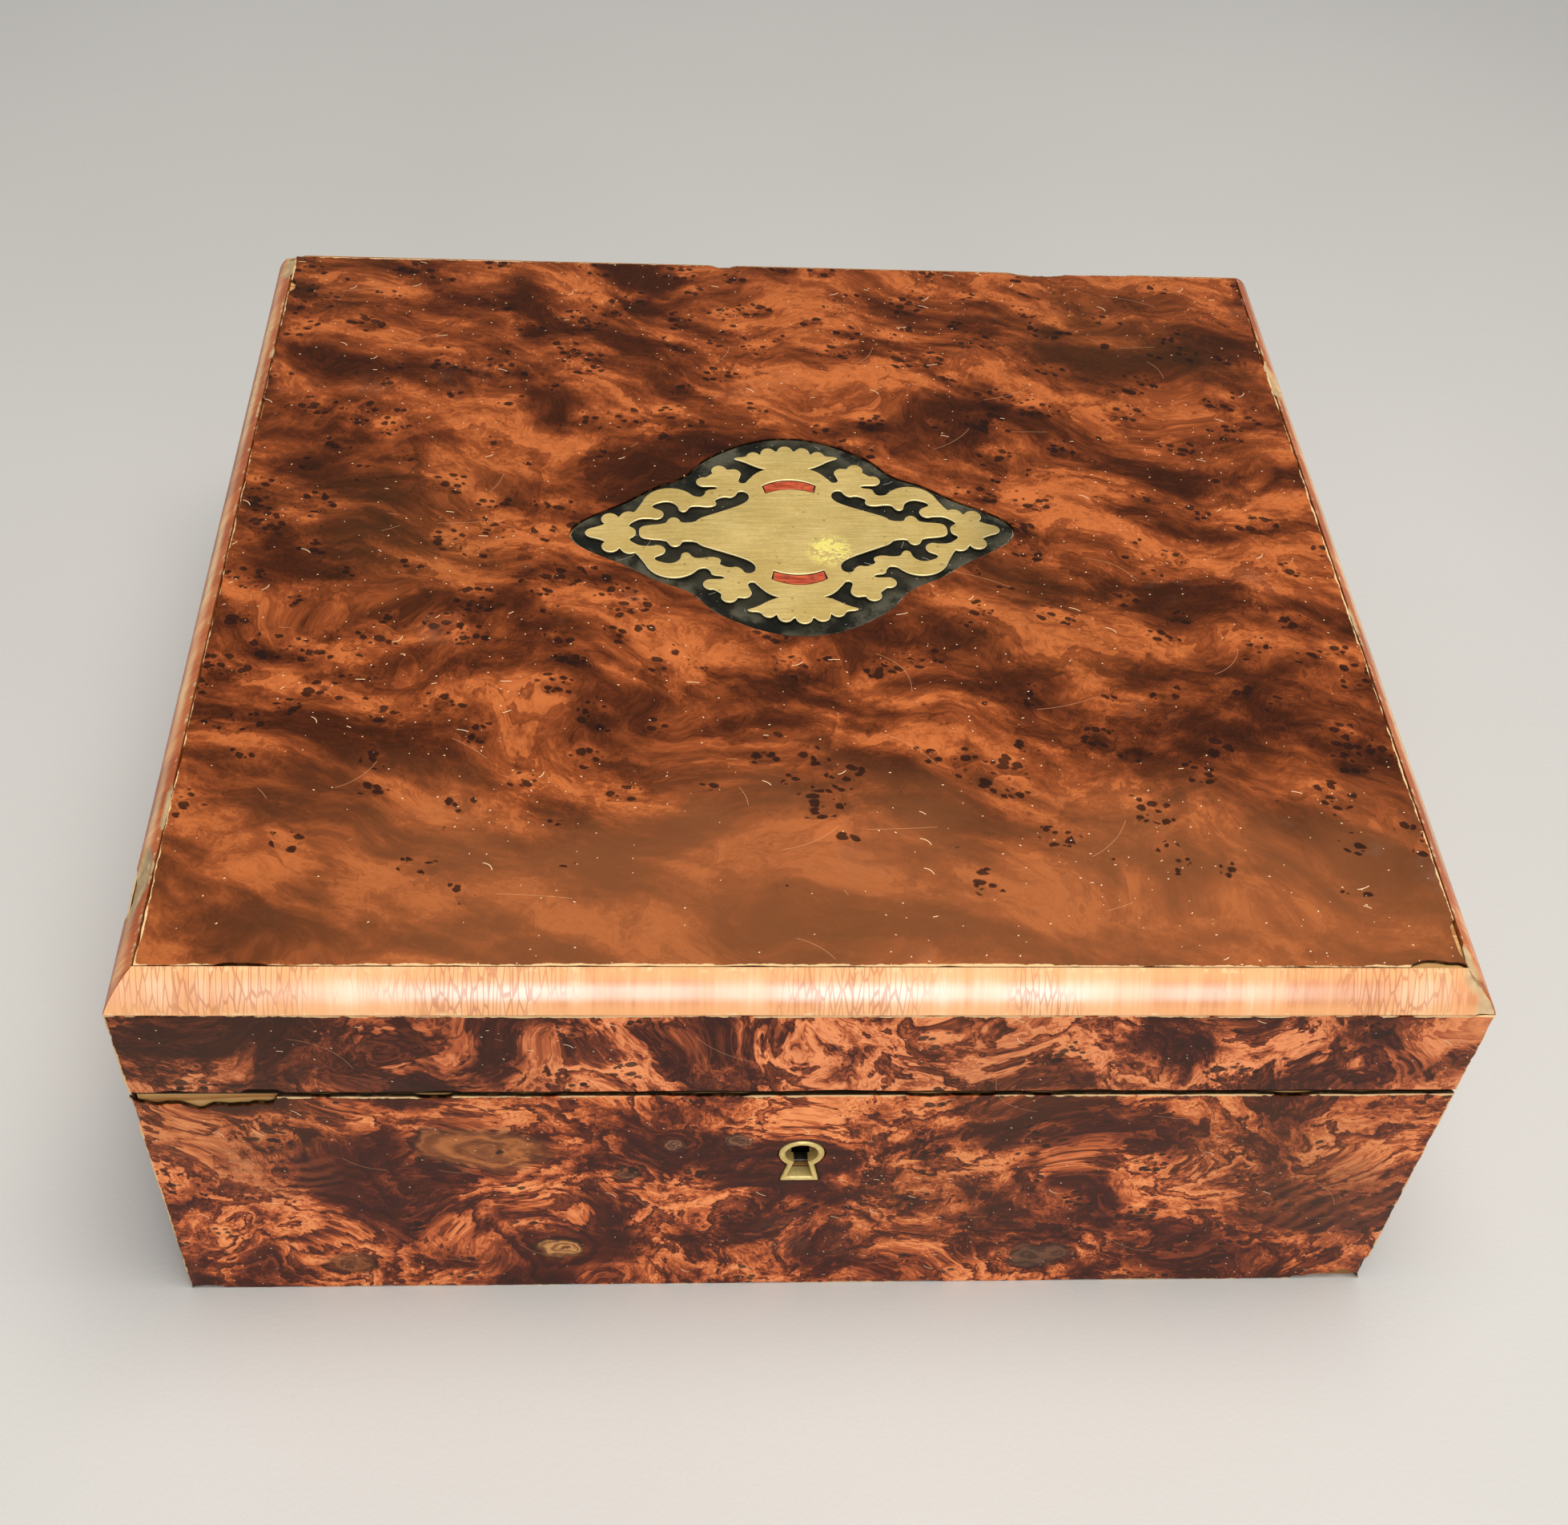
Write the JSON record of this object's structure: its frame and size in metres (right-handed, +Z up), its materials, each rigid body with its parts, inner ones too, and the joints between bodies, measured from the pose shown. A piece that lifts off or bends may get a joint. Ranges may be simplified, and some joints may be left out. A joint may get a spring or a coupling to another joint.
{
  "type": "lidded table box",
  "caption": "Rectangular lockable wooden box with a hinged, chamfered lid, burr veneer, a pierced brass plate on a black ground and a brass-lined keyhole.",
  "frame": {"origin": "centre of the underside, on the surface that the box stands on", "axes": "+X to the right along the front, +Y from the front with the keyhole to the back with the hinges, +Z up"},
  "size_m": [0.27, 0.255, 0.1124],
  "materials": {
    "burr_veneer": "burr veneer, glossy worn varnish",
    "crossband_veneer": "cross-banded veneer, worn varnish",
    "carcass_wood": "plain planed wood",
    "cartouche_brass": "brushed, lightly tarnished",
    "worked_brass": "worn polish",
    "black_ground": "blackened, dull varnish",
    "red_slip": "polished horn",
    "lock_steel": "dull, lightly rusted",
    "lining_cloth": "short-pile velvet"
  },
  "bodies": {
    "body": {"base_floor": "carcass_wood", "base_front_wall": "carcass_wood", "base_back_wall": "carcass_wood", "base_left_wall": "carcass_wood", "base_right_wall": "carcass_wood", "base_front_veneer": "burr_veneer", "base_back_veneer": "burr_veneer", "base_left_veneer": "burr_veneer", "base_right_veneer": "burr_veneer", "keyhole_escutcheon": "worked_brass", "lock_case": "lock_steel", "lock_cap": "lock_steel", "lock_selvedge": "worked_brass", "lock_spring": "lock_steel", "lock_screw_left": "worked_brass", "lock_screw_right": "worked_brass", "lining_floor_pad": "lining_cloth", "lining_front_panel": "lining_cloth", "lining_back_panel": "lining_cloth", "lining_left_panel": "lining_cloth", "lining_right_panel": "lining_cloth", "hinge_left_body_leaf": "worked_brass", "hinge_left_pin": "lock_steel", "hinge_left_body_screw_inner": "worked_brass", "hinge_left_body_screw_outer": "worked_brass", "hinge_right_body_leaf": "worked_brass", "hinge_right_pin": "lock_steel", "hinge_right_body_screw_inner": "worked_brass", "hinge_right_body_screw_outer": "worked_brass"},
    "lid": {"lid_top_board": "carcass_wood", "lid_front_rail": "carcass_wood", "lid_back_rail": "carcass_wood", "lid_left_rail": "carcass_wood", "lid_right_rail": "carcass_wood", "lid_top_veneer": "burr_veneer", "lid_front_veneer": "burr_veneer", "lid_back_veneer": "burr_veneer", "lid_left_veneer": "burr_veneer", "lid_right_veneer": "burr_veneer", "lid_front_chamfer": "crossband_veneer", "lid_back_chamfer": "crossband_veneer", "lid_left_chamfer": "crossband_veneer", "lid_right_chamfer": "crossband_veneer", "cartouche_ground": "black_ground", "cartouche_brass": "cartouche_brass", "cartouche_back_slip": "red_slip", "cartouche_front_slip": "red_slip", "lock_link_plate": "worked_brass", "link_screw_left": "worked_brass", "link_screw_right": "worked_brass", "lining_lid_pad": "lining_cloth", "hinge_left_lid_leaf": "worked_brass", "hinge_left_lid_screw_inner": "worked_brass", "hinge_left_lid_screw_outer": "worked_brass", "hinge_right_lid_leaf": "worked_brass", "hinge_right_lid_screw_inner": "worked_brass", "hinge_right_lid_screw_outer": "worked_brass"},
    "bolt": {"lock_bolt": "lock_steel"}
  },
  "joints": [
    {"name": "lid_hinge", "type": "hinge", "parent": "body", "child": "lid", "pos_m": [0, 0.12535, 0.0771], "axis": [-1, 0, 0], "range_deg": [0, 100]},
    {"name": "bolt_slide", "type": "slide", "parent": "body", "child": "bolt", "axis": [1, 0, 0], "range_m": [0, 0.004]}
  ]
}
